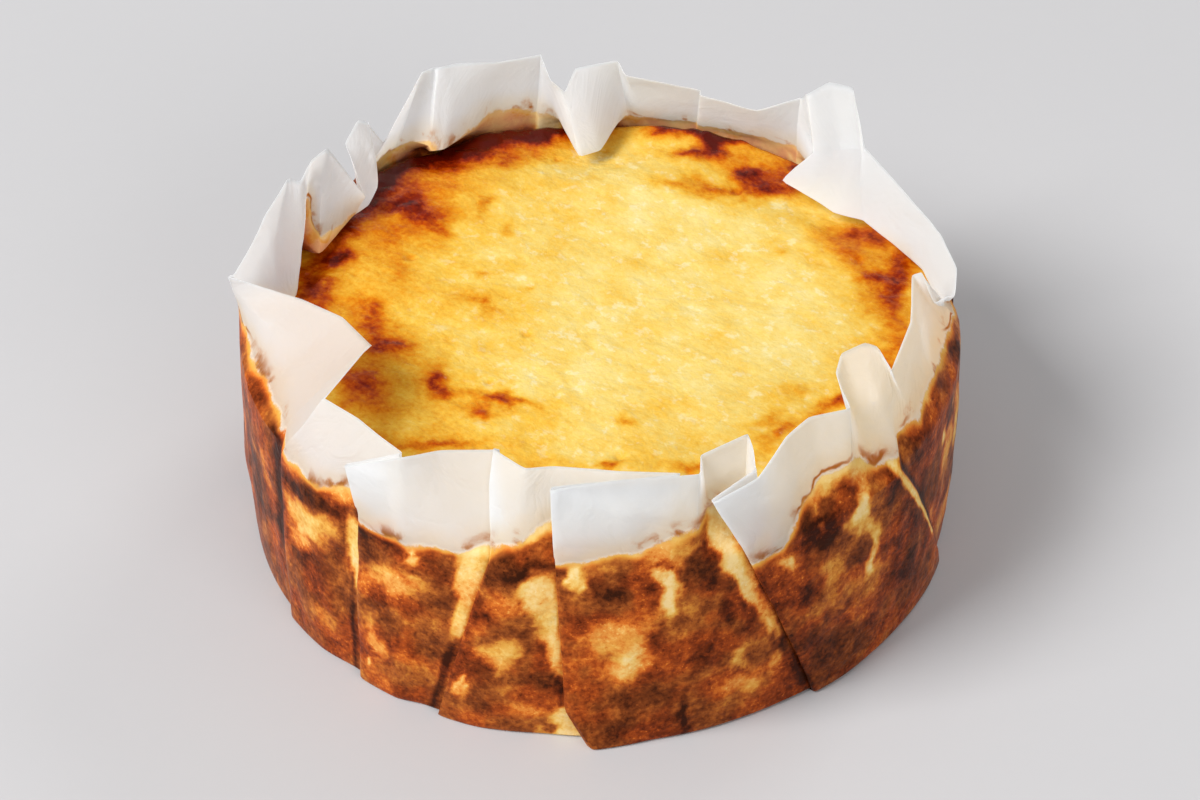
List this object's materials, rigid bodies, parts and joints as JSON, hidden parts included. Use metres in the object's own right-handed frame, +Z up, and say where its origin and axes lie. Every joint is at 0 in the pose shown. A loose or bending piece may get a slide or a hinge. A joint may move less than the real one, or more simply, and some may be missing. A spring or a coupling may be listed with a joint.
{
  "type": "basque cheesecake",
  "caption": "Round burnt-top cheesecake, whole and uncut, standing in its case of pleated baking parchment with a crumpled collar above the rim.",
  "frame": {"origin": "middle of the underside, on the surface the cake stands on", "axes": "+Z up out of the cake's top; -Y towards the front, where the paper's high middle pleat is; +X to the right"},
  "size_m": [0.1559, 0.1576, 0.0695],
  "materials": {
    "baked_cheesecake": "moist baked custard, golden yellow in the middle, amber to burnt brown at the rim",
    "parchment_paper": "thin baking parchment, creased, white above the rim and browned through with butter below it"
  },
  "bodies": {
    "root": {"cheesecake": "baked_cheesecake", "parchment": "parchment_paper"}
  },
  "joints": []
}
